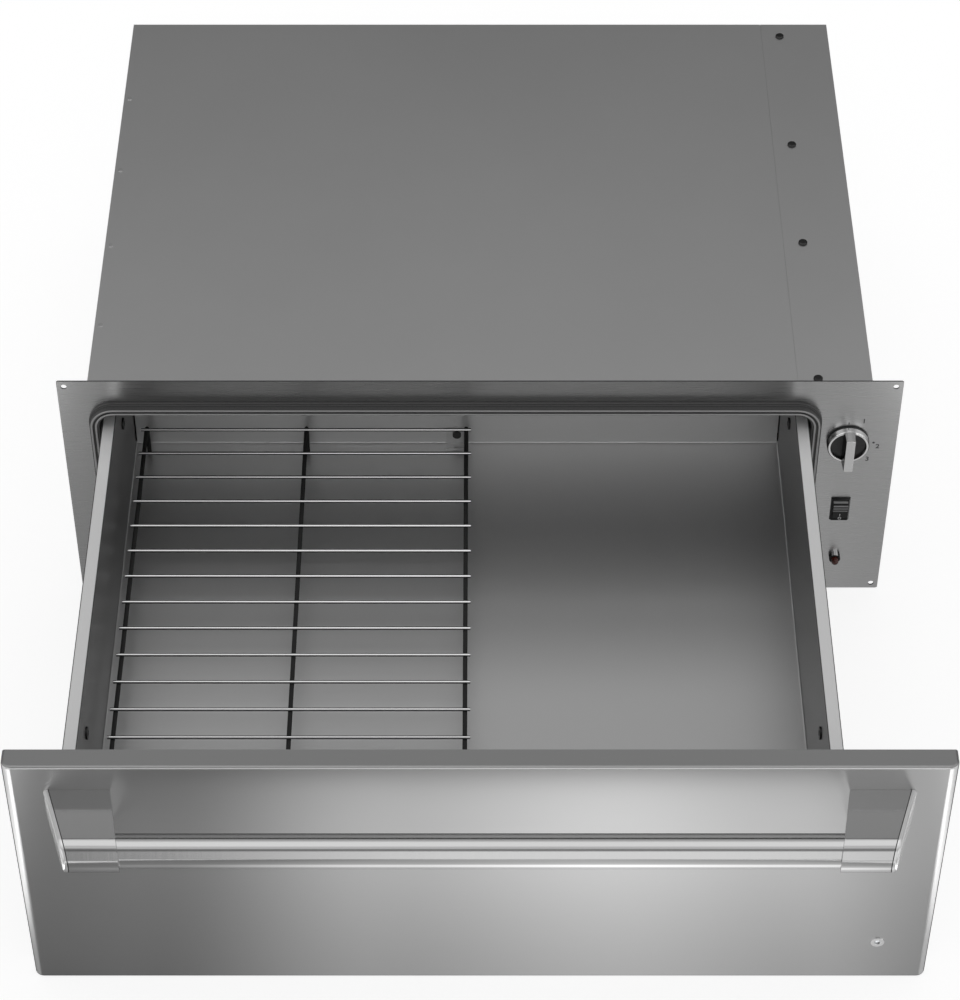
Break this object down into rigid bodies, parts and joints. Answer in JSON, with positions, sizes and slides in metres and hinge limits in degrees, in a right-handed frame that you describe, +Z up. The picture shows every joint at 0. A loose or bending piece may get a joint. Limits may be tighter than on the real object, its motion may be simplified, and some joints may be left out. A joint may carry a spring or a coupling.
{
  "type": "built-in warming drawer",
  "caption": "Built-in warming drawer: insulated steel case with a flanged front frame, pull-out pan on telescopic slides, bar handle, dial knob, rocker switch and wire rack.",
  "frame": {"origin": "centre of the four screw holes, on the rear face of the front frame that seats on the cabinet", "axes": "+X to the right of a person facing the drawer, +Y back into the cabinet, +Z up; stored with the drawer fully open"},
  "size_m": [0.7556, 1.0832, 0.2724],
  "materials": {
    "frame_steel": "horizontally brushed stainless steel",
    "gasket_rubber": "dark grey ribbed silicone",
    "case_steel": "satin galvanised sheet",
    "liner_steel": "satin sheet",
    "insulation_wool": "compressed mineral wool",
    "element_sheath": "oxidised sheath",
    "bush_ceramic": "matt",
    "bay_plastic": "matt",
    "plated_steel": "bright zinc plate",
    "ball_steel": "polished",
    "knob_dark": "satin dark grey",
    "knob_bright": "polished ring",
    "grip_steel": "fine brushed",
    "switch_plastic": "black, semi gloss",
    "lens_red": "dark red, translucent",
    "panel_steel": "horizontally brushed stainless steel",
    "handle_steel": "brushed, bright edges",
    "window_chrome": "polished",
    "window_clear": "clear light guide",
    "pan_steel": "satin stainless steel",
    "rack_chrome": "bright chrome wire",
    "dark_screw": "black oxide"
  },
  "bodies": {
    "case": {"front_frame": "frame_steel", "opening_gasket": "gasket_rubber", "case_top": "case_steel", "case_left_side": "case_steel", "control_cover": "case_steel", "case_bottom": "case_steel", "case_back": "case_steel", "bay_partition": "case_steel", "cover_screws": "dark_screw", "top_rivets": "plated_steel", "cavity_liner": "liner_steel", "insulation_top": "insulation_wool", "insulation_bottom": "insulation_wool", "insulation_left": "insulation_wool", "insulation_right": "insulation_wool", "insulation_back": "insulation_wool", "heating_element": "element_sheath", "element_bushes": "bush_ceramic", "element_support_1": "plated_steel", "element_support_2": "plated_steel", "element_support_3": "plated_steel", "sensor_bulb": "plated_steel", "sensor_clips": "plated_steel", "thermostat_body": "bay_plastic", "thermostat_nut": "plated_steel", "switch_housing": "switch_plastic", "indicator_body": "switch_plastic", "indicator_lens": "lens_red", "terminal_block": "bay_plastic", "power_inlet_bushing": "bay_plastic", "outer_rail_left": "plated_steel", "outer_rail_right": "plated_steel"},
    "drawer": {"front_panel": "panel_steel", "panel_top_cap": "panel_steel", "panel_bottom_cap": "panel_steel", "panel_liner": "liner_steel", "panel_insulation": "insulation_wool", "handle_bracket_right": "handle_steel", "handle_bracket_left": "handle_steel", "handle_bar": "handle_steel", "handle_screws": "plated_steel", "window_ring": "window_chrome", "window_lens": "window_clear", "drawer_pan": "pan_steel", "rear_clip": "plated_steel", "rear_clip_screw": "dark_screw", "rail_screws": "dark_screw", "inner_rail_left": "plated_steel", "inner_rail_right": "plated_steel"},
    "slide_left": {"mid_rail_left": "plated_steel", "ball_cages_left": "ball_steel"},
    "slide_right": {"mid_rail_right": "plated_steel", "ball_cages_right": "ball_steel"},
    "knob": {"knob_body": "knob_dark", "knob_ring": "knob_bright", "knob_grip": "grip_steel", "knob_shaft": "plated_steel"},
    "rocker": {"switch_rocker": "switch_plastic"},
    "rack": {"wire_rack": "rack_chrome"}
  },
  "joints": [
    {"name": "drawer_slide", "type": "slide", "parent": "case", "child": "drawer", "axis": [0, 1, 0], "range_m": [0, 0.4286]},
    {"name": "left_mid_rail_slide", "type": "slide", "parent": "case", "child": "slide_left", "axis": [0, 1, 0], "range_m": [0, 0.2143]},
    {"name": "right_mid_rail_slide", "type": "slide", "parent": "case", "child": "slide_right", "axis": [0, 1, 0], "range_m": [0, 0.2143]},
    {"name": "knob_turn", "type": "hinge", "parent": "case", "child": "knob", "pos_m": [0.333, -0.0095, 0.0592], "axis": [0, 1, 0], "range_deg": [0, 180]},
    {"name": "switch_rock", "type": "hinge", "parent": "case", "child": "rocker", "pos_m": [0.333, 0.0015, -0.026], "axis": [1, 0, 0], "range_deg": [-14, 0]},
    {"name": "rack_lift", "type": "slide", "parent": "drawer", "child": "rack", "axis": [0, 0, 1], "range_m": [0, 0.09]}
  ],
  "couplings": [
    {"joint": "left_mid_rail_slide", "follows": "drawer_slide", "ratio": 0.5},
    {"joint": "right_mid_rail_slide", "follows": "drawer_slide", "ratio": 0.5}
  ]
}
